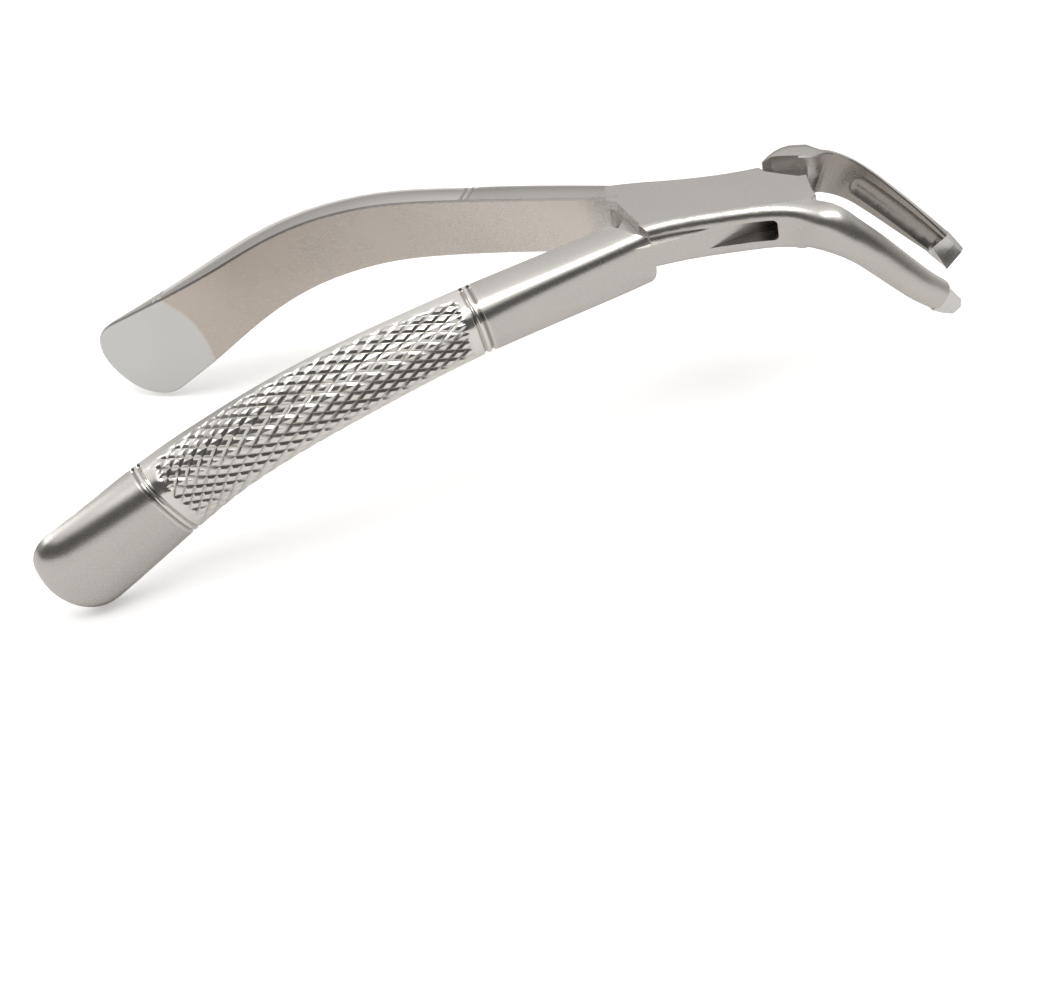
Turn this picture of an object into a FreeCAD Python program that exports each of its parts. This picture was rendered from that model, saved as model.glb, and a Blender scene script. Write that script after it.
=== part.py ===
import FreeCAD, Part
import Sketcher
import math
import os
from FreeCAD import Vector

# Lower extraction forceps with a box joint.
# X runs along the joint, +X towards the beaks. Z is the pivot axis, +Z up.
# The origin is on the pivot axis, at the flat underside of the joint.
# The forceps is drawn part open. The box half carries the +Y handle and the -Y beak,
# the tongue half carries the -Y handle and the +Y beak.

doc = FreeCAD.newDocument("extraction_forceps")
sheet = doc.addObject("Spreadsheet::Sheet", "Sizes")
sheet.Label = "Sizes"

CELLS = [
    ("joint_thick", 8.6),      # joint, top face to underside
    ("plate_thick", 2.2),      # each plate of the box
    ("tongue_clear", 0.05),    # tongue to plate, each side
    ("pin_dia", 5.0),          # pivot rivet
    ("pin_clear", 0.04),       # rivet to tongue bore, on radius
    ("pin_recess", 0.0),       # rivet ends are ground flush
    ("mid_drop", 1.5),         # handle centre line below the joint's mid plane
    ("far_length", 117.6),     # centre line, joint to handle end
    ("near_length", 123.6),
    ("far_end_round", 9.0),    # length over which the handle end is rounded
    ("near_end_round", 8.0),
    ("far_root_y", 2.25),      # handle inner face to the centre plane, at x = -10
    ("near_root_y", 1.95),
    ("box_beak_length", 29.6),     # -Y beak, centre line
    ("tongue_beak_length", 33.2),  # +Y beak
    ("beak_root_y", 6.65),          # beak inner face to the centre plane, at x = 22
    ("edge_ease", 0.35),       # eased edge of the handles' inner faces
    ("beak_ease", 0.22),
    ("grip_start", 31.0),      # start of the grip, along the handle
    ("flute_start", 9.6),      # hollow in the tongue half's beak, along the beak
    ("flute_radius", 2.3),
    ("flute_depth", 1.1),
    ("slot_round", 0.9),       # rounded end of the slot
    ("plan_ease", 0.35),       # eased edges of the box plates' ends
    ("claw_length", 4.2),      # length of the claw tip along the beak
    ("claw_reach", 2.4),       # how far the claw points inwards
]
TABLE = {
    # stations along the handles, in mm of centre line from x = -10
    "stn": [-7.0, 0.0, 19.4, 40.0, 59.5, 80.0, 99.5, 114.4],
    # direction: drop towards the floor, and sideways spread, in degrees
    "drp": [5.0, 6.0, 5.3, 8.0, 17.5, 29.3, 33.1, 33.7],
    "spr": [18.5, 18.5, 18.4, 18.1, 10.3, 1.5, 7.5, 10.2],
    # section height and thickness
    "hgt": [11.2, 11.5, 11.7, 12.3, 13.3, 14.3, 17.5, 20.0],
    "thk": [4.6, 5.4, 7.0, 8.0, 8.9, 9.8, 7.2, 4.4],
    # beak stations as fractions of its length, direction, height and thickness
    "bst": [0.0, 0.33, 0.66, 1.0],
    "bdr": [31.0, 47.8, 49.0, 41.2],
    "bsp": [27.9, 3.3, -2.5, -22.9],
    "bhg": [7.8, 6.6, 5.9, 5.0],
    "bth": [4.2, 3.6, 3.4, 2.9],
}
# the near handle differs from the far one in its last third only
NEAR = {"stn": [-7.0, 0.0, 19.4, 40.0, 59.5, 80.0, 103.0, 121.7],
        "drp": [5.0, 6.0, 5.3, 8.0, 17.5, 29.6, 25.4, 25.2],
        "spr": [18.5, 18.5, 18.4, 18.1, 10.3, 0.5, 21.9, 15.8],
        "hgt": [11.2, 11.6, 11.9, 12.6, 13.6, 14.1, 18.2, 20.6],
        "thk": [6.5, 6.8, 7.2, 8.0, 8.7, 8.9, 6.9, 5.6]}

row = 1
for name, value in CELLS:
    sheet.set("A%d" % row, name)
    sheet.set("B%d" % row, repr(float(value)))
    sheet.setAlias("B%d" % row, name)
    row += 1
LETTERS = "abcdefgh"
for prefix, table in (("far_", TABLE), ("near_", NEAR)):
    for key, values in table.items():
        for i, value in enumerate(values):
            alias = "%s%s_%s" % (prefix, key, LETTERS[i])
            sheet.set("A%d" % row, alias)
            sheet.set("B%d" % row, repr(float(value)))
            sheet.setAlias("B%d" % row, alias)
            row += 1
doc.recompute()


def size(name):
    return float(getattr(sheet, name))


def column(prefix, key, n):
    return [size("%s%s_%s" % (prefix, key, LETTERS[i])) for i in range(n)]


H = size("joint_thick")
T1 = size("plate_thick")
MID = H / 2.0
ZC = MID - size("mid_drop") + 0.1      # height of the handle centre line at its root


def smooth(xs, ys, x):
    # monotone cubic through the stations
    n = len(xs)
    if x <= xs[0]:
        return ys[0]
    if x >= xs[-1]:
        return ys[-1]
    hh = [xs[i + 1] - xs[i] for i in range(n - 1)]
    dd = [(ys[i + 1] - ys[i]) / hh[i] for i in range(n - 1)]
    m = [0.0] * n
    m[0], m[-1] = dd[0], dd[-1]
    for i in range(1, n - 1):
        if dd[i - 1] * dd[i] > 0:
            w1, w2 = 2 * hh[i] + hh[i - 1], hh[i] + 2 * hh[i - 1]
            m[i] = (w1 + w2) / (w1 / dd[i - 1] + w2 / dd[i])
    k = max(i for i in range(n - 1) if xs[i] <= x)
    s = (x - xs[k]) / hh[k]
    return ((1 + 2 * s) * (1 - s) ** 2 * ys[k] + s * (1 - s) ** 2 * hh[k] * m[k]
            + s * s * (3 - 2 * s) * ys[k + 1] + s * s * (s - 1) * hh[k] * m[k + 1])


def curve(xs, ys, x):
    # cubic through the stations with averaged slopes
    n = len(xs)
    k = max(0, min(n - 2, max([i for i in range(n) if xs[i] <= x] or [0])))
    dd = [(ys[i + 1] - ys[i]) / (xs[i + 1] - xs[i]) for i in range(n - 1)]
    m = [dd[0]] + [(dd[i - 1] * (xs[i + 1] - xs[i]) + dd[i] * (xs[i] - xs[i - 1])) / (xs[i + 1] - xs[i - 1])
                   for i in range(1, n - 1)] + [dd[-1]]
    h = xs[k + 1] - xs[k]
    s = (x - xs[k]) / h
    return ((1 + 2 * s) * (1 - s) ** 2 * ys[k] + s * (1 - s) ** 2 * h * m[k]
            + s * s * (3 - 2 * s) * ys[k + 1] + s * s * (s - 1) * h * m[k + 1])


def frame(direction, side):
    # section axes: nrm in the vertical plane of the path, out away from the centre plane
    nrm = Vector(0, 0, 1) - direction * direction.z
    nrm.normalize()
    out = nrm.cross(direction)
    if out.y * side < 0:
        out = out * -1.0
    return nrm, out


def d_wire(p, nrm, out, w, b, power, ch):
    # flat inner face with eased edges, full outer face: a superellipse half closed by straight edges
    pts = []
    a0 = math.asin((1.0 - min(0.9, ch / b) ** power) ** 0.5) if b > ch else 1.2
    for k in range(17):
        a = -a0 + 2.0 * a0 * k / 16.0
        c, s = math.cos(a), math.sin(a)
        c = max(c, 0.0) ** (2.0 / power)
        s = math.copysign(abs(s) ** (2.0 / power), s)
        pts.append(p + out * (b * c) + nrm * (w / 2.0 * s))
    curve = Part.BSplineCurve()
    curve.interpolate(pts)
    lo, hi = p - nrm * (w / 2.0 - ch), p + nrm * (w / 2.0 - ch)
    return Part.Wire([curve.toShape(), Part.LineSegment(pts[-1], hi).toShape(),
                      Part.LineSegment(hi, lo).toShape(), Part.LineSegment(lo, pts[0]).toShape()])


def r_wire(p, nrm, out, w, b, r_top, r_low, ch):
    # flat inner face, flat top and underside, rounded outer corners
    r_top, r_low = min(r_top, b - ch - 0.15, w * 0.48), min(r_low, b - ch - 0.15, w * 0.48)

    def at(a, c):
        return p + out * a + nrm * c

    def arc(ca, cc, r, a0):
        q = [at(ca + r * math.cos(math.radians(t)), cc + r * math.sin(math.radians(t))) for t in (a0, a0 + 45, a0 + 90)]
        return q[0], Part.Arc(*q).toShape(), q[2]

    h = w / 2.0
    low = arc(b - r_low, -h + r_low, r_low, -90)
    top = arc(b - r_top, h - r_top, r_top, 0)
    pts = [at(ch, -h), low[0], low[2], top[0], top[2], at(ch, h), at(0, h - ch), at(0, -h + ch)]

    def line(i, j):
        return Part.LineSegment(pts[i], pts[j]).toShape()

    return Part.Wire([line(0, 1), low[1], line(2, 3), top[1], line(4, 5), line(5, 6), line(6, 7), line(7, 0)])


def path(start, s0, length, drop, spread, sgn_x, side, steps=240):
    # integrates a direction given by drop and spread angles along the centre line
    pts, dirs, ss = [], [], []
    p = Vector(start)
    ds = (length - s0) / steps
    prev = None
    for i in range(steps + 1):
        s = s0 + ds * i
        th, ps = math.radians(drop(s)), math.radians(spread(s))
        d = Vector(sgn_x * math.cos(th) * math.cos(ps), side * math.sin(ps), -math.sin(th) * math.cos(ps))
        if prev is not None:
            p = p + (prev + d) * (0.5 * ds)
        prev = d
        pts.append(Vector(p))
        dirs.append(Vector(d))
        ss.append(s)
    return ss, pts, dirs


def pick(ss, pts, dirs, s):
    i = min(range(len(ss) - 1), key=lambda k: abs(0.5 * (ss[k] + ss[k + 1]) - s))
    t = (s - ss[i]) / (ss[i + 1] - ss[i])
    d = dirs[i] * (1.0 - t) + dirs[i + 1] * t
    d.normalize()
    return pts[i] * (1.0 - t) + pts[i + 1] * t, d


def handle(prefix, side, length, end_round):
    n = 8
    st = column(prefix, "stn", n)
    cols = {k: column(prefix, k, n) for k in ("drp", "spr", "hgt", "thk")}
    f = {k: (lambda s, k=k: smooth(st, cols[k], s)) for k in cols}
    # forward from the joint, and a short run back into it
    ss, pts, dirs = path((-10.0, side * size(prefix + "root_y"), ZC), 0.0, length, f["drp"], f["spr"], -1.0, side)
    d0 = dirs[0]
    wires = []
    for s in (-7.0,):
        nrm, out = frame(d0, side)
        wires.append(d_wire(pts[0] + d0 * s, nrm, out, f["hgt"](s), f["thk"](s), 4.2, size("edge_ease")))
    last = length - end_round
    grip = size("grip_start")
    stops = [0.0, 3.2, 6.6, 10.2, 15.0, 20.0, 25.5] + [grip + (last - grip) * k / 12.0 for k in range(13)]
    for k in (0.4, 0.68, 0.86, 0.96, 0.995):
        stops.append(last + end_round * k)
    for s in stops:
        p, d = pick(ss, pts, dirs, s)
        nrm, out = frame(d, side)
        w, b = f["hgt"](s), f["thk"](s)
        if s > last:
            q = (1.0 - ((s - last) / end_round) ** 2.3) ** (1 / 2.3)
            w, b = w * q, b * (0.35 + 0.65 * q)
        power = 4.2 - 1.5 * min(1.0, max(0.0, s / 34.0)) ** 1.3
        wires.append(d_wire(p, nrm, out, w, b, power, size("edge_ease") * w / f["hgt"](s)))
    return Part.makeLoft(wires, True, False), (ss, pts, dirs, f)


def beak_path(side):
    n = 4
    length = size("tongue_beak_length" if side > 0 else "box_beak_length")
    st = [v * length for v in column("far_", "bst", n)]
    cols = {k: column("far_", k, n) for k in ("bdr", "bsp", "bhg", "bth")}
    f = {k: (lambda s, k=k: smooth(st, cols[k], s)) for k in cols}
    ss, pts, dirs = path((22.0, side * size("beak_root_y"), MID - 1.45 + 2.4), 0.0, length, f["bdr"], f["bsp"], 1.0, side)
    return length, f, ss, pts, dirs


def beak(side, root, s_end):
    # root: sections set one by one between the joint and the beak, then the beak's own;
    # all are blended into one even run of sections
    length, f, ss, pts, dirs = beak_path(side)
    rows = []
    for x, y, z, drop, turn, w, b, r_top, r_low in root:
        rows.append([x, side * y, z, drop, side * turn, w, b, r_top, r_low])
    for k in range(7):
        s = s_end * k / 6.0
        p, d = pick(ss, pts, dirs, s)
        w, b = f["bhg"](s), f["bth"](s)
        drop = math.degrees(math.asin(-d.z))
        spread = math.degrees(math.atan2(d.y, d.x))
        if side < 0:
            # this beak runs out of the joint's full height: deeper at its root
            nrm, out = frame(d, side)
            e = 2.1 * max(0.0, 1.0 - s / 10.0) ** 2
            p = p - nrm * (e / 2.0)
            w += e
        rows.append([p.x, p.y, p.z, drop, spread, w, b, min(0.8 * b, 0.45 * w), min(0.8 * b, 0.45 * w)])
    us = [0.0]
    for a, c in zip(rows, rows[1:]):
        us.append(us[-1] + math.dist(a[:3], c[:3]))
    n = max(20, int(us[-1] / 1.25))
    wires = []
    for k in range(n + 1):
        u = us[-1] * k / n
        v = [curve(us, [r[i] for r in rows], u) if i < 3 else smooth(us, [r[i] for r in rows], u) for i in range(9)]
        th, ps = math.radians(v[3]), math.radians(v[4])
        d = Vector(math.cos(th) * math.cos(ps), math.cos(th) * math.sin(ps), -math.sin(th))
        nrm, out = frame(d, side)
        wires.append(r_wire(Vector(*v[:3]), nrm, out, v[5], v[6], v[7], v[8], size("beak_ease")))
    return Part.makeLoft(wires, True, True)


def feature(name, shape):
    obj = doc.addObject("Part::Feature", name)
    obj.Shape = shape
    obj.Placement = FreeCAD.Placement()
    return obj


def plane(body, role):
    for f in body.Origin.OriginFeatures:
        if getattr(f, "Role", "") == role:
            return f
    raise RuntimeError(role)


def prism(name, points, height, z_expr):
    # upright prism over a plan outline, as a padded sketch
    body = doc.addObject("PartDesign::Body", name)
    sk = body.newObject("Sketcher::SketchObject", name + "_plan")
    sk.AttachmentSupport = [(plane(body, "XY_Plane"), "")]
    sk.MapMode = "FlatFace"
    n = len(points)
    for i in range(n):
        a, b = points[i], points[(i + 1) % n]
        sk.addGeometry(Part.LineSegment(Vector(a[0], a[1], 0), Vector(b[0], b[1], 0)), False)
    for i in range(n):
        sk.addConstraint(Sketcher.Constraint("Coincident", i, 2, (i + 1) % n, 1))
    pad = body.newObject("PartDesign::Pad", name + "_pad")
    pad.Profile = sk
    pad.setExpression("Length", height)
    body.setExpression("Placement.Base.z", z_expr)
    return body


def rounded(name, base, radius, test):
    # fillets the edges whose midpoint passes the test
    doc.recompute()
    obj = doc.addObject("Part::Fillet", name)
    obj.Base = base
    picked = []
    for i, e in enumerate(base.Shape.Edges):
        mid = e.valueAt(0.5 * (e.FirstParameter + e.LastParameter))
        if test(mid):
            picked.append((i + 1, radius, radius))
    if not picked:
        raise RuntimeError("no edges to round: " + name)
    obj.Edges = picked
    return obj


def join(kind, name, base, tool):
    obj = doc.addObject(kind, name)
    obj.Base = base
    obj.Tool = tool
    return obj


# ---------------------------------------------------------------- joint envelope
# rounded rectangles along X: half width on the near side, on the far side
STATIONS = [(-19.0, 8.4, 8.6, 0.85), (-14.0, 7.9, 8.0, 0.36), (-8.5, 7.4, 7.2, 0.05), (-4.0, 6.8, 6.6, -0.03),
            (0.0, 6.5, 6.3, -0.03), (5.0, 6.4, 6.2, -0.03), (9.0, 6.4, 6.4, -0.03), (13.0, 6.5, 6.9, -0.03),
            (16.5, 6.6, 7.4, -0.03), (20.5, 6.9, 8.2, -0.03)]


def joint_wire(x, near, far, fall):
    # corners: near top round is full, the others are small
    r_nt, r_ft, r_nb, r_fb = 2.0, 0.7, 1.2, 1.2
    y0, y1, z0, z1 = -near, far, -0.02, H - fall

    def arc(cy, cz, r, a0):
        a, m, b = [Vector(x, cy + r * math.cos(math.radians(t)), cz + r * math.sin(math.radians(t)))
                   for t in (a0, a0 + 45, a0 + 90)]
        return a, Part.Arc(a, m, b).toShape(), b

    parts = [arc(y1 - r_ft, z1 - r_ft, r_ft, 0), arc(y0 + r_nt, z1 - r_nt, r_nt, 90),
             arc(y0 + r_nb, z0 + r_nb, r_nb, 180), arc(y1 - r_fb, z0 + r_fb, r_fb, 270)]
    edges = []
    for i in range(4):
        edges.append(parts[i][1])
        edges.append(Part.LineSegment(parts[i][2], parts[(i + 1) % 4][0]).toShape())
    return Part.Wire(edges)


joint_env = feature("joint_envelope", Part.makeLoft([joint_wire(*s) for s in STATIONS], True, False))

# ---------------------------------------------------------------- box half
BOX_PLAN = [(-15.4, 16.0), (-15.4, 3.45), (-13.6, 2.3), (-10.2, -5.0), (-10.2, -5.8), (-8.6, -7.2), (-8.6, -16.0),
            (16.8, -16.0), (18.2, -6.6), (20.4, -3.9), (20.0, -2.0), (19.8, 0.2), (19.6, 2.4), (18.1, 2.4), (15.3, 3.7),
            (12.6, 5.1), (11.6, 6.4), (11.6, 16.0)]
SLOT_PLAN = [(-24.0, 3.2), (-14.2, 3.2), (-12.6, 7.5), (-11.0, 16.0), (32.0, 16.0), (32.0, 1.0), (19.8, -3.4),
             (13.3, -6.0), (13.3, -16.0), (-24.0, -16.0)]
box_plan = prism("box_plan", BOX_PLAN, "Sizes.joint_thick", "0")
box_plan_eased = rounded("box_plan_eased", box_plan, size("plan_ease"),
                         lambda m: -15.0 < m.x < 20.6 and -7.5 < m.y < 6.5 and (m.z < 0.01 or m.z > H - 0.01))
slot_blank = prism("slot_blank", SLOT_PLAN, "Sizes.joint_thick - 2 * Sizes.plate_thick", "Sizes.plate_thick")
slot_tool = rounded("slot_tool", slot_blank, size("slot_round"),
                    lambda m: abs(m.x - 13.3) < 0.01 and abs(m.z - MID) > 1.0)
box_block = join("Part::Common", "box_block", joint_env, box_plan_eased)

far_loft, far_path = handle("far_", 1.0, size("far_length"), size("far_end_round"))
far_handle = feature("far_handle_blank", far_loft)
# the far handle ends at the box's left wall
HANDLE_KEEP = [(-140.0, -60.0), (-13.2, -60.0), (-13.2, 60.0), (-140.0, 60.0)]
keep_far = prism("far_handle_limit", HANDLE_KEEP, "160", "-90")
far_trim = join("Part::Common", "far_handle", far_handle, keep_far)

near_root = [(9.0, 2.4, MID, 0.0, 0.0, 8.58, 4.01, 2.0, 1.2), (13.0, 2.75, MID, 0.0, 2.5, 8.58, 3.98, 2.1, 1.3),
             (16.4, 3.6, MID - 0.01, 3.5, 9.0, 8.58, 4.0, 2.2, 1.6), (19.0, 4.9, MID, 14.0, 18.0, 8.85, 4.1, 2.5, 2.1)]
near_beak = feature("near_beak_blank", beak(-1.0, near_root, size("box_beak_length") - size("claw_length")))

box_sum = doc.addObject("Part::MultiFuse", "box_sum")
box_sum.Shapes = [box_block, far_trim, near_beak]
box_slotted = join("Part::Cut", "box_slotted", box_sum, slot_tool)

# bore for the rivet, through both plates
pin_hole = doc.addObject("Part::Cylinder", "pin_hole")
pin_hole.setExpression("Radius", "Sizes.pin_dia / 2")
pin_hole.setExpression("Height", "Sizes.joint_thick + 4")
pin_hole.setExpression("Placement.Base.z", "-2")
box_half = join("Part::Cut", "box_half", box_slotted, pin_hole)
box_half.Label = "box_half"

# ---------------------------------------------------------------- tongue half
TONGUE_PLAN = [(-14.6, -4.6), (-12.6, 0.2), (-2.3, 5.0), (5.0, 7.0), (12.4, 8.3), (16.0, 9.5), (20.2, 9.0), (20.0, 7.4),
               (19.6, 0.5), (13.4, -1.9), (2.3, -6.2), (-8.6, -9.4), (-12.5, -9.3)]
tongue_plan = prism("tongue_plan", TONGUE_PLAN, "Sizes.joint_thick - 2 * Sizes.plate_thick - 2 * Sizes.tongue_clear",
                    "Sizes.plate_thick + Sizes.tongue_clear")

near_loft, near_path = handle("near_", -1.0, size("near_length"), size("near_end_round"))
near_handle = feature("near_handle_blank", near_loft)

far_root = [(12.2, 6.9, MID + 0.1, 0.0, 0.0, 8.4, 1.7, 1.4, 1.4),
            (13.2, 6.9, MID + 0.2, 0.0, 0.0, 8.8, 3.2, 2.2, 2.2),
            (14.8, 6.9, MID + 0.3, 0.0, 0.0, 9.2, 4.8, 2.8, 2.6),
            (17.4, 6.85, MID + 0.35, 0.0, 0.0, 9.3, 6.0, 3.2, 2.8),
            (19.9, 6.65, MID + 0.45, 12.0, 0.0, 8.9, 6.1, 3.4, 3.0)]
far_beak_solid = feature("far_beak_blank", beak(1.0, far_root, size("tongue_beak_length") - size("claw_length")))


def flute(side):
    # hollow ground along the beak's inner face, with a round start
    length, f, ss, pts, dirs = beak_path(side)
    r, deep, s0 = size("flute_radius"), size("flute_depth"), size("flute_start")
    wires = []
    end = length - size("claw_length") + 0.3
    for k, (s, q) in enumerate([(s0 - r * 0.92, 0.3), (s0 - r * 0.7, 0.68), (s0 - r * 0.35, 0.93), (s0, 1.0)]
                               + [(s0 + (end - s0) * i / 7.0, 1.0) for i in range(1, 8)]):
        p, d = pick(ss, pts, dirs, s)
        nrm, out = frame(d, side)
        rr = r * q
        c = p + out * (deep * q - rr)
        wires.append(Part.Wire([Part.Circle(c, d, rr).toShape()]))
    return Part.makeLoft(wires, True, True)


far_flute = feature("far_flute", flute(1.0))
far_beak = join("Part::Cut", "far_beak", far_beak_solid, far_flute)

# the shoulders: everything on the joint side of them is cleared above and below the tongue
CLEAR_PLAN = [(-15.2, -4.2), (-11.6, -7.2), (-7.6, -8.7), (-6.4, -16.0), (18.6, -16.0), (18.6, 7.2), (13.9, 8.2),
              (12.3, 7.4), (11.0, 16.0), (-15.2, 16.0)]
clear_top = prism("clear_top", CLEAR_PLAN, "12", "Sizes.joint_thick - Sizes.plate_thick - Sizes.tongue_clear")
clear_low = prism("clear_low", CLEAR_PLAN, "12", "Sizes.plate_thick + Sizes.tongue_clear - 12")
END_KEEP = [(-140.0, -60.0), (-7.6, -60.0), (-7.6, 60.0), (-140.0, 60.0)]
keep_near = prism("near_handle_limit", END_KEEP, "160", "-90")
near_trim = join("Part::Common", "near_handle", near_handle, keep_near)
shanks = join("Part::Fuse", "shanks", near_trim, far_beak)
shanks_a = join("Part::Cut", "shanks_top_cleared", shanks, clear_top)
shanks_b = join("Part::Cut", "shanks_cleared", shanks_a, clear_low)
tongue_sum = join("Part::Fuse", "tongue_sum", tongue_plan, shanks_b)
tongue_bore = doc.addObject("Part::Cylinder", "tongue_bore")
tongue_bore.setExpression("Radius", "Sizes.pin_dia / 2 + Sizes.pin_clear")
tongue_bore.setExpression("Height", "Sizes.joint_thick + 4")
tongue_bore.setExpression("Placement.Base.z", "-2")
tongue_half = join("Part::Cut", "tongue_half", tongue_sum, tongue_bore)
tongue_half.Label = "tongue_half"

# ---------------------------------------------------------------- rivet
pin = doc.addObject("PartDesign::Body", "pivot_rivet")
pin.Label = "pivot_rivet"
pin_sk = pin.newObject("Sketcher::SketchObject", "rivet_circle")
pin_sk.AttachmentSupport = [(plane(pin, "XY_Plane"), "")]
pin_sk.MapMode = "FlatFace"
pin_sk.addGeometry(Part.Circle(Vector(0, 0, 0), Vector(0, 0, 1), 2.5), False)
pin_sk.addConstraint(Sketcher.Constraint("Coincident", 0, 3, -1, 1))
pin_sk.addConstraint(Sketcher.Constraint("Diameter", 0, 5.0))
pin_sk.setExpression("Constraints[1]", "Sizes.pin_dia")
pin_pad = pin.newObject("PartDesign::Pad", "rivet_pad")
pin_pad.Profile = pin_sk
pin_pad.setExpression("Length", "Sizes.joint_thick - 2 * Sizes.pin_recess")
pin.setExpression("Placement.Base.z", "Sizes.pin_recess")


# ---------------------------------------------------------------- claw tips
def claw(side):
    # welded tip: a block that continues the beak and turns inwards to a single point
    length, f, ss, pts, dirs = beak_path(side)
    s1 = length - size("claw_length")
    reach = size("claw_reach")
    wires = []
    for k, (dw, dpt) in enumerate(((1.0, 0.0), (0.97, 0.5), (0.9, 1.0))):
        s = s1 + size("claw_length") * k / 2.0
        p, d = pick(ss, pts, dirs, s)
        nrm, out = frame(d, side)
        w, b = f["bhg"](s) * dw, f["bth"](s)
        if side > 0:
            prof = [(0.0 - 0.15 * dpt, 0.5), (-reach * dpt, -0.22), (-0.35 * reach * dpt, -0.5), (b * 0.62, -0.42),
                    (b * (1 - 0.25 * dpt), 0.0), (b * 0.72 * (1 - 0.3 * dpt), 0.42)]
        else:
            prof = [(0.0 - 0.15 * dpt, 0.5 - 0.3 * dpt), (-reach * dpt, -0.3), (-0.35 * reach * dpt, -0.52),
                    (b * 0.62, -0.5), (b * (1 - 0.1 * dpt), -0.1), (b * 0.72 * (1 - 0.1 * dpt), 0.42 - 0.25 * dpt)]
        q = [p + out * a + nrm * (w * c) for a, c in prof]
        wires.append(Part.makePolygon(q + [q[0]]))
    return Part.makeLoft(wires, True, True)


near_claw = feature("box_half_claw", claw(-1.0))
near_claw.Label = "box_half_claw"
far_claw = feature("tongue_half_claw", claw(1.0))
far_claw.Label = "tongue_half_claw"

doc.recompute()

NODES = [box_half, tongue_half, pin, near_claw, far_claw]
for obj in doc.Objects:
    bad = [s for s in obj.State if s in ("Invalid", "Error")]
    if bad:
        raise RuntimeError("%s: %s" % (obj.Label, bad))
for obj in NODES:
    shp = obj.Shape
    if shp.isNull() or not shp.isValid():
        raise RuntimeError("bad shape: " + obj.Label)
    print(obj.Label, "solids", len(shp.Solids), "volume", round(shp.Volume, 1), shp.BoundBox)
if slot_tool.Shape.Volume < 100 or box_slotted.Shape.Volume >= box_sum.Shape.Volume - 100:
    raise RuntimeError("slot not cut")
if tongue_half.Shape.Volume >= tongue_sum.Shape.Volume - 10:
    raise RuntimeError("tongue bore not cut")

os.makedirs("parts", exist_ok=True)
for obj in NODES:
    obj.Shape.exportStep("parts/%s.step" % obj.Label)
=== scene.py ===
import bpy, bmesh, math
import numpy as np
from mathutils import Vector, Matrix


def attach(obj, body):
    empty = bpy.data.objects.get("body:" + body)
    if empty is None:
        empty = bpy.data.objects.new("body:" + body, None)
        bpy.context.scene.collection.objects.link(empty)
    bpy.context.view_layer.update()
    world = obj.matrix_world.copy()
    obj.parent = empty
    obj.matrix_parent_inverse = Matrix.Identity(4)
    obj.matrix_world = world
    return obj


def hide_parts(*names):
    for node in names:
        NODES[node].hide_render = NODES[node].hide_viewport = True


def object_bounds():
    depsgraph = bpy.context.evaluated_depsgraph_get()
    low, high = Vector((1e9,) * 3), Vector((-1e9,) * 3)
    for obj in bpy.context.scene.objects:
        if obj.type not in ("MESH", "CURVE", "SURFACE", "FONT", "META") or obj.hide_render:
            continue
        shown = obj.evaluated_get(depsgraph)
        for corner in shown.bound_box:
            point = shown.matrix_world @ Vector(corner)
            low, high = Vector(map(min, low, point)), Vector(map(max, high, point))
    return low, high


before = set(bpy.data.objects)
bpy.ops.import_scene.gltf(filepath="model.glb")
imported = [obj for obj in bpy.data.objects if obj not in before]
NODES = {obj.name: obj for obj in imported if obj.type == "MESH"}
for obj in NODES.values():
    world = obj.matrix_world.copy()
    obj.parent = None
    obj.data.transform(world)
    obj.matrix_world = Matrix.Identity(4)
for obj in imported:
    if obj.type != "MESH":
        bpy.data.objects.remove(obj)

lo0, hi0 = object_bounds()
MM = 0.001

# ------------------------------------------------------------------ sizes, in mm, shared with the solid model
FAR = {"stn": [-7.0, 0.0, 19.4, 40.0, 59.5, 80.0, 99.5, 114.4],
       "drp": [5.0, 6.0, 5.3, 8.0, 17.5, 29.3, 33.1, 33.7],
       "spr": [18.5, 18.5, 18.4, 18.1, 10.3, 1.5, 7.5, 10.2],
       "hgt": [11.2, 11.5, 11.7, 12.3, 13.3, 14.3, 17.5, 20.0],
       "thk": [4.6, 5.4, 7.0, 8.0, 8.9, 9.8, 7.2, 4.4]}
NEAR = {"stn": [-7.0, 0.0, 19.4, 40.0, 59.5, 80.0, 103.0, 121.7],
        "drp": [5.0, 6.0, 5.3, 8.0, 17.5, 29.6, 25.4, 25.2],
        "spr": [18.5, 18.5, 18.4, 18.1, 10.3, 0.5, 21.9, 15.8],
        "hgt": [11.2, 11.6, 11.9, 12.6, 13.6, 14.1, 18.2, 20.6],
        "thk": [6.5, 6.8, 7.2, 8.0, 8.7, 8.9, 6.9, 5.6]}
FAR_LEN, NEAR_LEN = 117.6, 123.6
FAR_ROUND, NEAR_ROUND = 9.0, 8.0
FAR_Y, NEAR_Y, ZC = 2.25, 1.95, 4.3 - 1.5 + 0.1
EASE, START, GRIP = 0.35, 6.6, 31.0


def smooth(xs, ys, x):
    n = len(xs)
    if x <= xs[0]:
        return ys[0]
    if x >= xs[-1]:
        return ys[-1]
    hh = [xs[i + 1] - xs[i] for i in range(n - 1)]
    dd = [(ys[i + 1] - ys[i]) / hh[i] for i in range(n - 1)]
    m = [0.0] * n
    m[0], m[-1] = dd[0], dd[-1]
    for i in range(1, n - 1):
        if dd[i - 1] * dd[i] > 0:
            w1, w2 = 2 * hh[i] + hh[i - 1], hh[i] + 2 * hh[i - 1]
            m[i] = (w1 + w2) / (w1 / dd[i - 1] + w2 / dd[i])
    k = max(i for i in range(n - 1) if xs[i] <= x)
    s = (x - xs[k]) / hh[k]
    return ((1 + 2 * s) * (1 - s) ** 2 * ys[k] + s * (1 - s) ** 2 * hh[k] * m[k]
            + s * s * (3 - 2 * s) * ys[k + 1] + s * s * (s - 1) * hh[k] * m[k + 1])


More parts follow.
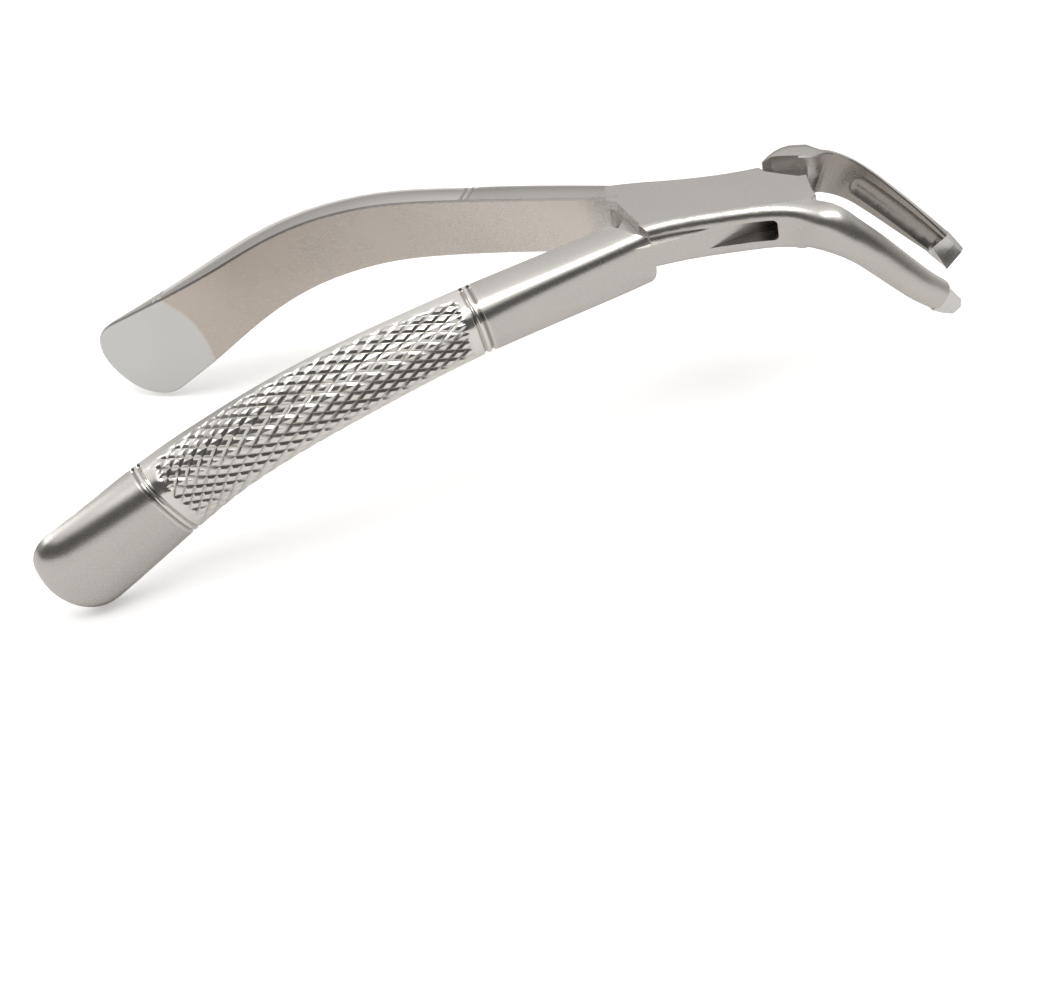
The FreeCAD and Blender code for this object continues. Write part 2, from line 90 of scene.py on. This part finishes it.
class Arm:
    """A handle's centre line and section, the same as the solid's."""

    def __init__(self, table, length, side, end_round):
        self.t, self.length, self.side, self.end = table, length, side, end_round
        self.last = length - end_round
        steps = 240
        ds = length / steps
        p = np.array([-10.0, side * (FAR_Y if side > 0 else NEAR_Y), ZC])
        prev = None
        self.s, self.p, self.d = [], [], []
        for i in range(steps + 1):
            s = ds * i
            th = math.radians(smooth(table["stn"], table["drp"], s))
            ps = math.radians(smooth(table["stn"], table["spr"], s))
            d = np.array([-math.cos(th) * math.cos(ps), side * math.sin(ps), -math.sin(th) * math.cos(ps)])
            if prev is not None:
                p = p + (prev + d) * (0.5 * ds)
            prev = d
            self.s.append(s)
            self.p.append(p.copy())
            self.d.append(d.copy())
        self.s, self.p, self.d = map(np.array, (self.s, self.p, self.d))

    def at(self, s):
        p = np.array([np.interp(s, self.s, self.p[:, k]) for k in range(3)])
        d = np.array([np.interp(s, self.s, self.d[:, k]) for k in range(3)])
        d /= np.linalg.norm(d)
        nrm = np.array([0, 0, 1.0]) - d * d[2]
        nrm /= np.linalg.norm(nrm)
        out = np.cross(nrm, d)
        if out[1] * self.side < 0:
            out = -out
        w, b = smooth(self.t["stn"], self.t["hgt"], s), smooth(self.t["stn"], self.t["thk"], s)
        w0 = w
        if s > self.last:
            q = max(0.0, 1.0 - (min(1.0, (s - self.last) / self.end)) ** 2.3) ** (1 / 2.3)
            w, b = w * q, b * (0.35 + 0.65 * q)
        power = 4.2 - 1.5 * min(1.0, max(0.0, s / 34.0)) ** 1.3
        return p, d, nrm, out, w, b, power, EASE * w / w0

    def outer(self, s, t):
        """Points of the outer curve for t in -1..1, spaced evenly along the arc."""
        p, d, nrm, out, w, b, power, ch = self.at(s)
        a0 = math.asin((1.0 - min(0.9, ch / max(b, 1e-6)) ** power) ** 0.5) if b > ch else 1.2
        a = np.linspace(-a0, a0, 401)
        c, sn = np.cos(a), np.sin(a)
        x = b * np.maximum(c, 0) ** (2.0 / power)
        y = w / 2.0 * np.sign(sn) * np.abs(sn) ** (2.0 / power)
        seg = np.r_[0, np.cumsum(np.hypot(np.diff(x), np.diff(y)))]
        seg = seg / seg[-1] * 2.0 - 1.0 if seg[-1] > 0 else np.linspace(-1, 1, 401)
        xi, yi = np.interp(t, seg, x), np.interp(t, seg, y)
        return p + out[None] * xi[:, None] + nrm[None] * yi[:, None], (p, nrm, out, w, ch)


def hat(x, half):
    return np.maximum(0.0, 1.0 - np.abs(x) / half)


def smoothstep(a, b, x):
    t = np.clip((x - a) / (b - a), 0, 1)
    return t * t * (3 - 2 * t)


# ------------------------------------------------------------------ the grip of a handle
PITCH, ANGLE, CELLS = 1.92, math.radians(32.0), 8
PS, PV = PITCH / math.sin(ANGLE), PITCH / math.cos(ANGLE)
RING_A, RING_B = (31.75, 33.05), (96.4, 97.7)
KNURL_A, KNURL_B = 34.4, 95.2
DEPTH = 0.36


def grip(name, arm, pad):
    ncol = 12 * CELLS                                # outer curve columns
    t = np.linspace(-1, 1, ncol + 1)
    tc = 0.5 * (t[1:] + t[:-1])
    ds = PS / CELLS
    n0 = 40
    rows = [START + (GRIP - START) * i / n0 for i in range(n0)]
    rows += [GRIP + 0.15 * i for i in range(int((KNURL_A - GRIP) / 0.15))]
    k0 = rows[-1] + 0.15
    nk = int(round((KNURL_B - k0) / ds))
    rows += [k0 + ds * i for i in range(nk + 1)]
    r0 = rows[-1]
    n2 = int((98.6 - r0) / 0.15)
    rows += [r0 + 0.15 * (i + 1) for i in range(n2)]
    r1 = rows[-1]
    n3 = int((arm.last - r1) / 0.9)
    rows += [r1 + (arm.last - r1) * (i + 1) / n3 for i in range(n3)]
    rows += [arm.last + arm.end * math.sin(math.pi / 2 * (i + 1) / 16.0) for i in range(15)] + [arm.length - 0.012]
    rows = np.array(rows)

    def dip_at(s, y):
        # the flat ground pad on the inside of the handle's end
        if not pad:
            return np.zeros_like(y)
        u = y / 9.0
        dip = np.tan(math.radians(3.2)) * np.maximum(0.0, s - (94.5 + 2.6 * u ** 2 - 1.2 * u + (5.0 if arm.side < 0 else 0.0)))
        return np.minimum(dip, 0.22 * smooth(arm.t["stn"], arm.t["thk"], s))

    def section(s, tt):
        q, info = arm.outer(s, tt)
        e = 1e-3
        q2, _ = arm.outer(min(s + 0.02, arm.length), tt)
        qa, _ = arm.outer(s, np.clip(tt + e, -1, 1))
        qb, _ = arm.outer(s, np.clip(tt - e, -1, 1))
        nv = np.cross(qa - qb, q2 - q)
        ln = np.linalg.norm(nv, axis=1)
        nv = nv / np.maximum(ln, 1e-9)[:, None]
        nv = nv * np.sign((nv @ info[2])[:, None] + 1e-9) if abs(s - arm.length) > 8 else nv
        mid = info[0] + info[2] * 0.2
        flip = np.sign(((q - mid) * nv).sum(1))
        nv = nv * np.where(flip == 0, 1, flip)[:, None]
        dep = groove(s, tt)
        if pad and s > 90.0:
            rel = q - info[0]
            low = dip_at(s, rel @ info[1]) + info[4] * 0.9 - (rel @ info[2])
            q = q + info[2][None] * np.maximum(0.0, low)[:, None]
        return q - nv * dep[:, None], dep, info

    def groove(s, tt):
        g = np.zeros_like(tt)
        for r in RING_A + RING_B:
            g = np.maximum(g, 0.50 * hat(s - r, 0.46) * (1 - smoothstep(0.985, 1.0, np.abs(tt))))
        if KNURL_A < s < KNURL_B:
            ph = (s - k0) / PS
            v = tt * (ncol / 2) / CELLS
            # the grooves reach furthest round the handle in the middle of the grip
            mid = 1.0 - abs((s - 0.5 * (KNURL_A + KNURL_B)) / (0.5 * (KNURL_B - KNURL_A))) ** 2.5
            hi = (0.30 + 0.14 * mid) if arm.side > 0 else (0.70 + 0.13 * mid)
            edge = (1 - smoothstep(hi, hi + 0.13, tt)) * (1 - smoothstep(0.88, 0.97, -tt))
            # the cutter runs out in waves towards both ends of the grip
            ends = smoothstep(KNURL_A + 0.1, KNURL_A + 1.9, s + 1.3 * np.abs(tt) ** 1.5) \
                * (1 - smoothstep(KNURL_B - 2.2, KNURL_B - 0.2, s + 1.0 * np.abs(tt) ** 1.5))
            for f in (ph + v, ph - v):
                x = np.abs(f - np.round(f)) * PITCH      # distance to the nearest groove line
                cut = np.interp(x, [0.0, 0.24, 0.48, 0.72, 0.96], [1.0, 0.62, 0.13, 0.02, 0.0])
                g = np.maximum(g, DEPTH * cut * edge * ends)
        return g

    verts, dep, inner_tint_and_painted_light = [], [], []
    grid = np.zeros((len(rows), ncol + 1), int)
    infos = []
    for i, s in enumerate(rows):
        q, g, info = section(s, t)
        grid[i] = len(verts) + np.arange(ncol + 1)
        verts.extend(q)
        dep.extend(g)
        infos.append(info)
    faces = []
    for i in range(len(rows) - 1):
        s = 0.5 * (rows[i] + rows[i + 1])
        fine = k0 - 0.01 < s < rows[-1] and KNURL_A < s < KNURL_B + 0.3
        if fine:
            q, g, _ = section(s, tc)
            base = len(verts)
            verts.extend(q)
            dep.extend(g)
        for j in range(ncol):
            a, b, c, d = grid[i, j], grid[i, j + 1], grid[i + 1, j + 1], grid[i + 1, j]
            if fine:
                m = base + j
                faces += [(a, b, m), (b, c, m), (c, d, m), (d, a, m)]
            else:
                faces.append((a, b, c, d))
    # eased edges and the flat inner face
    ni = 14
    inner = np.zeros((len(rows), ni + 1), int)
    for i, s in enumerate(rows):
        p, nrm, out, w, ch = infos[i]
        top = np.array(verts[grid[i, -1]])
        bot = np.array(verts[grid[i, 0]])
        ys = np.linspace(w / 2 - ch, -(w / 2 - ch), ni + 1)
        dip = dip_at(s, ys)
        for j, y in enumerate(ys):
            inner[i, j] = len(verts)
            verts.append(p + nrm * y + out * dip[j])
            dep.append(-min(1.0, dip[j] / 0.05) if pad else 0.0)
    for i in range(len(rows) - 1):
        for j in range(ni):
            faces.append((inner[i, j], inner[i, j + 1], inner[i + 1, j + 1], inner[i + 1, j]))
        faces.append((grid[i, -1], inner[i, 0], inner[i + 1, 0], grid[i + 1, -1]))
        faces.append((inner[i, -1], grid[i, 0], grid[i + 1, 0], inner[i + 1, -1]))
    loop = list(grid[-1]) + list(inner[-1])
    faces.append(tuple(reversed(loop)))
    me = bpy.data.meshes.new(name)
    me.from_pydata([tuple(np.array(v) * MM) for v in verts], [], faces)
    me.update()
    at = me.attributes.new("cut", "FLOAT", "POINT")
    at.data.foreach_set("value", np.array([max(0.0, v) / DEPTH for v in dep], np.float32))
    at = me.attributes.new("pad", "FLOAT", "POINT")
    at.data.foreach_set("value", np.array([max(0.0, -v) for v in dep], np.float32))
    # painted light: the flat inner face is painted lighter near the joint and browner towards the pad; the gripped
    # band is polished and given a painted sheen, a paler base colour
    first = int(inner[0, 0])
    srow = np.zeros(len(verts))
    for i, s in enumerate(rows):
        srow[inner[i]] = s
        srow[grid[i]] = s
    idx = np.arange(len(verts))
    tone = np.where((idx >= first) & (np.array(dep) > -0.5),
                    0.30 * smoothstep(6.6, 11.0, srow) + 0.70 * smoothstep(24.0, 92.0, srow), 0.0)
    at = me.attributes.new("inner_tint_and_painted_light", "FLOAT", "POINT")
    at.data.foreach_set("value", tone.astype(np.float32))
    # painted sheen: the gripped band gets a paler base colour as well as its lower roughness
    polish_and_painted_sheen = np.zeros(len(verts))
    polish_and_painted_sheen[:first] = 1.0
    known = (srow > 0) & (idx < first)
    polish_and_painted_sheen[known] = smoothstep(30.9, 31.5, srow[known]) * (1 - smoothstep(98.0, 98.6, srow[known]))
    at = me.attributes.new("polish_and_painted_sheen", "FLOAT", "POINT")
    at.data.foreach_set("value", polish_and_painted_sheen.astype(np.float32))
    ob = bpy.data.objects.new(name, me)
    bpy.context.scene.collection.objects.link(ob)
    bm = bmesh.new()
    bm.from_mesh(me)
    bmesh.ops.recalc_face_normals(bm, faces=bm.faces)
    mid = arm.p[150] * MM
    # the outer side must face away from the centre plane
    tot = 0.0
    for f in bm.faces:
        c = f.calc_center_median()
        if abs(c.x - mid[0]) < 0.002:
            tot += f.normal.y * (c.y - mid[1] - arm.side * 0.002) * f.calc_area()
    if tot < 0:
        bmesh.ops.reverse_faces(bm, faces=bm.faces)
    bm.to_mesh(me)
    bm.free()
    me.shade_smooth()
    me.set_sharp_from_angle(angle=math.radians(28))
    return ob


far_arm = Arm(FAR, FAR_LEN, 1.0, FAR_ROUND)
near_arm = Arm(NEAR, NEAR_LEN, -1.0, NEAR_ROUND)


def weigh(ob):
    """Shades flat faces flat: loop normals lean to the broad flat faces around them."""
    me = ob.data
    n_loops, n_poly = len(me.loops), len(me.polygons)
    nrm = np.empty(n_poly * 3, np.float32)
    me.polygons.foreach_get("normal", nrm)
    nrm = nrm.reshape(-1, 3).astype(float)
    area = np.empty(n_poly, np.float32)
    me.polygons.foreach_get("area", area)
    vert = np.empty(n_loops, np.int32)
    me.loops.foreach_get("vertex_index", vert)
    owner = np.empty(n_loops, np.int32)
    for f in me.polygons:
        owner[f.loop_start:f.loop_start + f.loop_total] = f.index
    around = {}
    for li in range(n_loops):
        around.setdefault(int(vert[li]), []).append(li)
    # flat faces are found as groups of triangles that lie in one plane
    root = list(range(n_poly))

    def find(i):
        while root[i] != i:
            root[i] = root[root[i]]
            i = root[i]
        return i

    seen_edge = {}
    for f in me.polygons:
        for k in f.edge_keys:
            if k in seen_edge:
                g = seen_edge[k]
                if float(nrm[g] @ nrm[f.index]) > 0.99996:
                    root[find(g)] = find(f.index)
            else:
                seen_edge[k] = f.index
    group = np.array([find(i) for i in range(n_poly)])
    total = np.zeros(n_poly)
    np.add.at(total, group, area)
    # only a broad flat face outweighs its neighbours; curved strips keep even weights
    area = np.where(total[group] > 1.2e-5, 60.0, 1.0)
    co = np.empty(len(me.vertices) * 3, np.float32)
    me.vertices.foreach_get("co", co)
    co = co.reshape(-1, 3).astype(float)
    wedge = np.zeros(n_loops)
    for f in me.polygons:
        ls = list(f.loop_indices)
        m = len(ls)
        for q in range(m):
            a, b, c = co[vert[ls[q - 1]]], co[vert[ls[q]]], co[vert[ls[(q + 1) % m]]]
            u, v = a - b, c - b
            d = float(u @ v) / max(1e-15, float(np.linalg.norm(u) * np.linalg.norm(v)))
            wedge[ls[q]] = math.acos(max(-1.0, min(1.0, d)))
    limit = math.cos(math.radians(30))
    out = np.zeros((n_loops, 3))
    for loops in around.values():
        ps = owner[loops]
        dots = nrm[ps] @ nrm[ps].T
        # faces joined to this one by a chain of gentle steps belong to its smooth fan
        near = dots > limit
        for _ in range(3):
            near = (near.astype(int) @ near.astype(int)) > 0
            near &= dots > 0.55
        wts = near * (area[ps] * wedge[loops])[None]
        v = wts @ nrm[ps]
        v /= np.maximum(np.linalg.norm(v, axis=1), 1e-12)[:, None]
        out[loops] = v
    me.normals_split_custom_set([tuple(v) for v in out])


def body_piece(name, node, arm=None):
    """The forged part of the solid: its mesh, with the grip cut away where the separate grip mesh starts."""
    src = NODES[node].data
    me = src.copy()
    me.name = name
    ob = bpy.data.objects.new(name, me)
    bpy.context.scene.collection.objects.link(ob)
    bm = bmesh.new()
    bm.from_mesh(me)
    bmesh.ops.remove_doubles(bm, verts=bm.verts, dist=2e-6)
    if arm is not None:
        p, d, *_ = arm.at(START)
        bmesh.ops.bisect_plane(bm, geom=bm.verts[:] + bm.edges[:] + bm.faces[:], dist=1e-7,
                               plane_co=Vector(p * MM), plane_no=Vector(d), clear_outer=True)
    bm.to_mesh(me)
    bm.free()
    me.materials.clear()
    me.shade_smooth()
    me.set_sharp_from_angle(angle=math.radians(30))
    for n in ("cut", "pad", "inner_tint_and_painted_light", "polish_and_painted_sheen"):
        at = me.attributes.new(n, "FLOAT", "POINT")
    # painted shade: the beaks' inner faces get a darker base colour, fading in from their roots
    at = me.attributes.new("painted_inner_shade", "FLOAT", "CORNER")
    sgn = 1.0 if node == "tongue_half" else -1.0
    val = np.zeros(len(me.loops), np.float32)
    for f in me.polygons:
        c, n = f.center, f.normal
        if c.x > 0.0196 and n.y * sgn < -0.50 and abs(c.y) > 0.0042:
            for li in f.loop_indices:
                x = me.vertices[me.loops[li].vertex_index].co.x
                val[li] = float(smoothstep(0.0196, 0.0235, x))
    at.data.foreach_set("value", val)
    weigh(ob)
    return ob


# ------------------------------------------------------------------ materials
def steel(name, base, rough, seed, brush=(1.0, 0.0), bump=0.16):
    m = bpy.data.materials.new(name)
    m.use_nodes = True
    nt = m.node_tree
    nt.nodes.clear()
    N = nt.nodes.new
    L = nt.links.new
    out = N("ShaderNodeOutputMaterial")
    sh = N("ShaderNodeBsdfPrincipled")
    L(sh.outputs["BSDF"], out.inputs["Surface"])
    sh.inputs["Metallic"].default_value = 1.0
    sh.inputs["Anisotropic"].default_value = 0.0
    tc = N("ShaderNodeTexCoord")
    mp = N("ShaderNodeMapping")
    mp.inputs["Location"].default_value = (seed * 0.13, seed * 0.07, seed * 0.03)
    mp.inputs["Rotation"].default_value = (0, 0, brush[1])
    L(tc.outputs["Object"], mp.inputs["Vector"])
    # long polishing lines
    ms = N("ShaderNodeMapping")
    ms.inputs["Scale"].default_value = (90.0, 2600.0, 2600.0)
    L(mp.outputs["Vector"], ms.inputs["Vector"])
    lines = N("ShaderNodeTexNoise")
    lines.inputs["Scale"].default_value = 1.0
    lines.inputs["Detail"].default_value = 3.0
    L(ms.outputs["Vector"], lines.inputs["Vector"])
    # blasted grain
    grain = N("ShaderNodeTexNoise")
    grain.inputs["Scale"].default_value = 5200.0
    grain.inputs["Detail"].default_value = 2.0
    L(mp.outputs["Vector"], grain.inputs["Vector"])
    # broad cloudiness of the finish
    cloud = N("ShaderNodeTexNoise")
    cloud.inputs["Scale"].default_value = 60.0
    cloud.inputs["Detail"].default_value = 4.0
    cloud.inputs["Roughness"].default_value = 0.55
    L(mp.outputs["Vector"], cloud.inputs["Vector"])
    ramp = N("ShaderNodeValToRGB")
    ramp.color_ramp.elements[0].position = 0.3
    ramp.color_ramp.elements[1].position = 0.75
    ramp.color_ramp.elements[0].color = (*[c * 0.965 for c in base], 1)
    ramp.color_ramp.elements[1].color = (*[min(1, c * 1.03) for c in base], 1)
    L(cloud.outputs["Fac"], ramp.inputs["Fac"])
    cut = N("ShaderNodeAttribute")
    cut.attribute_name = "cut"
    pad = N("ShaderNodeAttribute")
    pad.attribute_name = "pad"
    # painted shade: the base colour is darkened in the knurl and ring grooves, by their cut depth
    painted_groove_shade = N("ShaderNodeMix")
    painted_groove_shade.data_type = "RGBA"
    painted_groove_shade.blend_type = "MULTIPLY"
    painted_groove_shade.inputs["B"].default_value = (0.72, 0.70, 0.68, 1)
    groove_shade_amount = N("ShaderNodeMath")
    groove_shade_amount.operation = "MULTIPLY"
    groove_shade_amount.inputs[1].default_value = 0.40
    L(cut.outputs["Fac"], groove_shade_amount.inputs[0])
    L(groove_shade_amount.outputs[0], painted_groove_shade.inputs["Factor"])
    L(ramp.outputs["Color"], painted_groove_shade.inputs["A"])
    # painted shade: the beaks' inner faces are multiplied darker
    painted_inner_shade = N("ShaderNodeAttribute")
    painted_inner_shade.attribute_name = "painted_inner_shade"
    mk = N("ShaderNodeMath")
    mk.operation = "MULTIPLY"
    mk.inputs[1].default_value = 0.85
    L(painted_inner_shade.outputs["Fac"], mk.inputs[0])
    painted_inner_shade_mix = N("ShaderNodeMix")
    painted_inner_shade_mix.data_type = "RGBA"
    painted_inner_shade_mix.blend_type = "MULTIPLY"
    painted_inner_shade_mix.inputs["B"].default_value = (0.52, 0.49, 0.47, 1)
    L(mk.outputs[0], painted_inner_shade_mix.inputs["Factor"])
    L(painted_groove_shade.outputs["Result"], painted_inner_shade_mix.inputs["A"])
    # painted light on the flat inner face: the ramp lifts the base colour by about a fifth near the joint, then
    # turns it browner towards the pad
    inner_tint_and_painted_light = N("ShaderNodeAttribute")
    inner_tint_and_painted_light.attribute_name = "inner_tint_and_painted_light"
    hue = N("ShaderNodeValToRGB")
    hue.color_ramp.elements[0].position = 0.0
    hue.color_ramp.elements[0].color = (1, 1, 1, 1)
    hue.color_ramp.elements[1].position = 1.0
    hue.color_ramp.elements[1].color = (0.96, 0.90, 0.85, 1)
    mid = hue.color_ramp.elements.new(0.30)
    mid.color = (1.22, 1.19, 1.165, 1)
    L(inner_tint_and_painted_light.outputs["Fac"], hue.inputs["Fac"])
    tint = N("ShaderNodeMix")
    tint.data_type = "RGBA"
    tint.blend_type = "MULTIPLY"
    tint.inputs["Factor"].default_value = 1.0
    L(hue.outputs["Color"], tint.inputs["B"])
    L(painted_inner_shade_mix.outputs["Result"], tint.inputs["A"])
    # the ground pad is a cooler, paler grey
    cool = N("ShaderNodeMix")
    cool.data_type = "RGBA"
    cool.inputs["B"].default_value = (0.74, 0.745, 0.74, 1)
    L(pad.outputs["Fac"], cool.inputs["Factor"])
    L(tint.outputs["Result"], cool.inputs["A"])
    # painted sheen: the polished band's base colour is mixed paler, less so in the grooves
    polish_and_painted_sheen = N("ShaderNodeAttribute")
    polish_and_painted_sheen.attribute_name = "polish_and_painted_sheen"
    painted_grip_sheen = N("ShaderNodeMix")
    painted_grip_sheen.data_type = "RGBA"
    painted_grip_sheen.blend_type = "MIX"
    painted_grip_sheen.inputs["B"].default_value = (0.84, 0.82, 0.795, 1)
    gk = N("ShaderNodeMath")
    gk.operation = "MULTIPLY"
    gk.inputs[1].default_value = 0.85
    L(polish_and_painted_sheen.outputs["Fac"], gk.inputs[0])
    ck = N("ShaderNodeMath")
    ck.operation = "MULTIPLY_ADD"
    ck.inputs[1].default_value = -0.6
    ck.use_clamp = True
    L(cut.outputs["Fac"], ck.inputs[0])
    L(gk.outputs[0], ck.inputs[2])
    L(ck.outputs[0], painted_grip_sheen.inputs["Factor"])
    L(cool.outputs["Result"], painted_grip_sheen.inputs["A"])
    L(painted_grip_sheen.outputs["Result"], sh.inputs["Base Color"])
    # roughness: base + clouds + lines + pad
    r1 = N("ShaderNodeMapRange")
    r1.inputs["To Min"].default_value = rough - 0.045
    r1.inputs["To Max"].default_value = rough + 0.055
    L(cloud.outputs["Fac"], r1.inputs["Value"])
    r2 = N("ShaderNodeMath")
    r2.operation = "MULTIPLY_ADD"
    r2.inputs[1].default_value = 0.09
    L(lines.outputs["Fac"], r2.inputs[0])
    L(r1.outputs["Result"], r2.inputs[2])
    r3 = N("ShaderNodeMath")
    r3.operation = "MULTIPLY_ADD"
    r3.inputs[1].default_value = 0.20
    L(pad.outputs["Fac"], r3.inputs[0])
    L(r2.outputs[0], r3.inputs[2])
    r4 = N("ShaderNodeMath")
    r4.operation = "MULTIPLY_ADD"
    r4.inputs[1].default_value = -0.10
    L(polish_and_painted_sheen.outputs["Fac"], r4.inputs[0])
    L(r3.outputs[0], r4.inputs[2])
    L(r4.outputs[0], sh.inputs["Roughness"])
    # bump: grain and lines
    b1 = N("ShaderNodeBump")
    b1.inputs["Strength"].default_value = bump * 0.5
    b1.inputs["Distance"].default_value = 0.00001
    L(grain.outputs["Fac"], b1.inputs["Height"])
    b2 = N("ShaderNodeBump")
    b2.inputs["Strength"].default_value = bump * 0.4
    b2.inputs["Distance"].default_value = 0.00001
    L(lines.outputs["Fac"], b2.inputs["Height"])
    L(b1.outputs["Normal"], b2.inputs["Normal"])
    L(b2.outputs["Normal"], sh.inputs["Normal"])
    return m


M_BOX = steel("steel_box_half", (0.61, 0.585, 0.56), 0.23, 1, brush=(1.0, math.radians(-8)))
M_TON = steel("steel_tongue_half", (0.61, 0.588, 0.563), 0.23, 2, brush=(1.0, math.radians(17)))
M_CLAW = steel("steel_claw", (0.72, 0.71, 0.69), 0.22, 4, brush=(1.0, 0.6))
M_RIVET = steel("steel_rivet", (0.615, 0.59, 0.565), 0.23, 5)

pieces = []


def finish_piece(ob, mat, body, node):
    ob.data.materials.clear()
    ob.data.materials.append(mat)
    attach(ob, body)
    if node:
        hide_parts(node)
    pieces.append(ob)


box_body = body_piece("box_half_forging", "box_half", far_arm)
finish_piece(box_body, M_BOX, "box_side", "box_half")
ton_body = body_piece("tongue_half_forging", "tongue_half", near_arm)
finish_piece(ton_body, M_TON, "tongue_side", "tongue_half")
far_grip = grip("box_half_grip", far_arm, True)
finish_piece(far_grip, M_BOX, "box_side", None)
near_grip = grip("tongue_half_grip", near_arm, True)
finish_piece(near_grip, M_TON, "tongue_side", None)

for node, mat in (("pivot_rivet", M_RIVET), ("box_half_claw", M_CLAW), ("tongue_half_claw", M_CLAW)):
    o = NODES[node]
    o.data.materials.clear()
    o.data.materials.append(mat)

# ------------------------------------------------------------------ stage
FLOOR_Z = lo0.z - 0.0004
bpy.ops.mesh.primitive_plane_add(size=6.0, location=(0, 0, FLOOR_Z))
floor = bpy.context.object
floor.name = "floor"
fm = bpy.data.materials.new("floor_paper")
fm.use_nodes = True
fb = fm.node_tree.nodes["Principled BSDF"]
fb.inputs["Base Color"].default_value = (0.93, 0.93, 0.93, 1)
fb.inputs["Roughness"].default_value = 0.9
fb.inputs["Specular IOR Level"].default_value = 0.1
fb.inputs["Emission Color"].default_value = (1.0, 0.995, 0.985, 1)
fb.inputs["Emission Strength"].default_value = 0.36
fn = fm.node_tree
grey = fn.nodes.new("ShaderNodeBsdfDiffuse")
grey.inputs["Color"].default_value = (0.86, 0.85, 0.835, 1)
path = fn.nodes.new("ShaderNodeLightPath")
both = fn.nodes.new("ShaderNodeMixShader")
fn.links.new(path.outputs["Is Glossy Ray"], both.inputs[0])
fn.links.new(fb.outputs["BSDF"], both.inputs[1])
fn.links.new(grey.outputs["BSDF"], both.inputs[2])
fn.links.new(both.outputs[0], fn.nodes["Material Output"].inputs["Surface"])
floor.data.materials.append(fm)


def area(name, loc, target, sx, sy, power, color=(1, 1, 1)):
    ld = bpy.data.lights.new(name, "AREA")
    ld.shape = "RECTANGLE"
    ld.size, ld.size_y = sx, sy
    ld.energy = power
    ld.color = color
    ob = bpy.data.objects.new(name, ld)
    bpy.context.scene.collection.objects.link(ob)
    ob.location = loc
    ob.rotation_mode = "QUATERNION"
    ob.rotation_quaternion = (Vector(target) - Vector(loc)).to_track_quat("-Z", "Y")
    return ob


area("soft_top", (0.02, -0.16, 0.80), (0, 0, 0), 0.80, 0.34, 2.6)
area("soft_left", (-0.80, 0.10, 0.55), (0, 0, 0), 0.40, 0.30, 0.7)

w = bpy.data.worlds.new("studio")
bpy.context.scene.world = w
w.use_nodes = True
nt = w.node_tree
nt.nodes.clear()
N, L = nt.nodes.new, nt.links.new
wo = N("ShaderNodeOutputWorld")
bg = N("ShaderNodeBackground")
tc = N("ShaderNodeTexCoord")
sep = N("ShaderNodeSeparateXYZ")
L(tc.outputs["Generated"], sep.inputs[0])
front = N("ShaderNodeValToRGB")
back = N("ShaderNodeValToRGB")


def stops(node, values):
    cr = node.color_ramp
    cr.interpolation = "EASE"
    while len(cr.elements) > 1:
        cr.elements.remove(cr.elements[-1])
    cr.elements[0].position = values[0][0]
    cr.elements[0].color = (*[values[0][1] * c for c in (1.0, 0.985, 0.965)], 1)
    for pos, v in values[1:]:
        e = cr.elements.new(pos)
        e.color = (*[v * c for c in (1.0, 0.985, 0.965)], 1)


# height of the direction, 0 at the horizon and 1 overhead
stops(front, [(0.0, 0.16), (0.30, 0.10), (0.66, 0.10), (0.78, 0.70), (0.88, 1.0), (1.0, 1.0)])
stops(back, [(0.0, 0.34), (0.25, 0.46), (0.50, 0.66), (0.72, 0.86), (1.0, 1.0)])
mixfb = N("ShaderNodeMix")
mixfb.data_type = "RGBA"
side = N("ShaderNodeMapRange")
side.inputs["From Min"].default_value = -0.35
side.inputs["From Max"].default_value = 0.35
L(sep.outputs["Y"], side.inputs["Value"])
L(side.outputs["Result"], mixfb.inputs["Factor"])
L(sep.outputs["Z"], front.inputs["Fac"])
L(sep.outputs["Z"], back.inputs["Fac"])
L(front.outputs["Color"], mixfb.inputs["A"])
L(back.outputs["Color"], mixfb.inputs["B"])
lp = N("ShaderNodeLightPath")
seen = N("ShaderNodeMix")
seen.data_type = "RGBA"
seen.inputs["B"].default_value = (0.93, 0.93, 0.93, 1)
L(lp.outputs["Is Camera Ray"], seen.inputs["Factor"])
L(mixfb.outputs["Result"], seen.inputs["A"])
L(seen.outputs["Result"], bg.inputs["Color"])
bg.inputs["Strength"].default_value = 1.0
L(bg.outputs[0], wo.inputs[0])

# ------------------------------------------------------------------ camera
A, E, R_ = math.radians(6.35), math.radians(42.0), math.radians(11.65)
F = Vector((-math.sin(A) * math.cos(E), math.cos(A) * math.cos(E), -math.sin(E)))
R = Vector((math.cos(A), math.sin(A), 0))
U = R.cross(F)
Rr = math.cos(R_) * R - math.sin(R_) * U
Ur = math.sin(R_) * R + math.cos(R_) * U
cd = bpy.data.cameras.new("camera")
cam = bpy.data.objects.new("camera", cd)
bpy.context.scene.collection.objects.link(cam)
cd.sensor_width = 36.0
cd.lens = 2387.5 / 1064.0 * 36.0
cd.clip_start, cd.clip_end = 0.01, 20.0
Z = -F
cam.matrix_world = Matrix(((Rr.x, Ur.x, Z.x, -0.0006985), (Rr.y, Ur.y, Z.y, -0.3383553),
                           (Rr.z, Ur.z, Z.z, 0.2500346), (0, 0, 0, 1)))
bpy.context.scene.camera = cam
bpy.context.scene.view_settings.view_transform = "Standard"
bpy.context.scene.view_settings.look = "None"
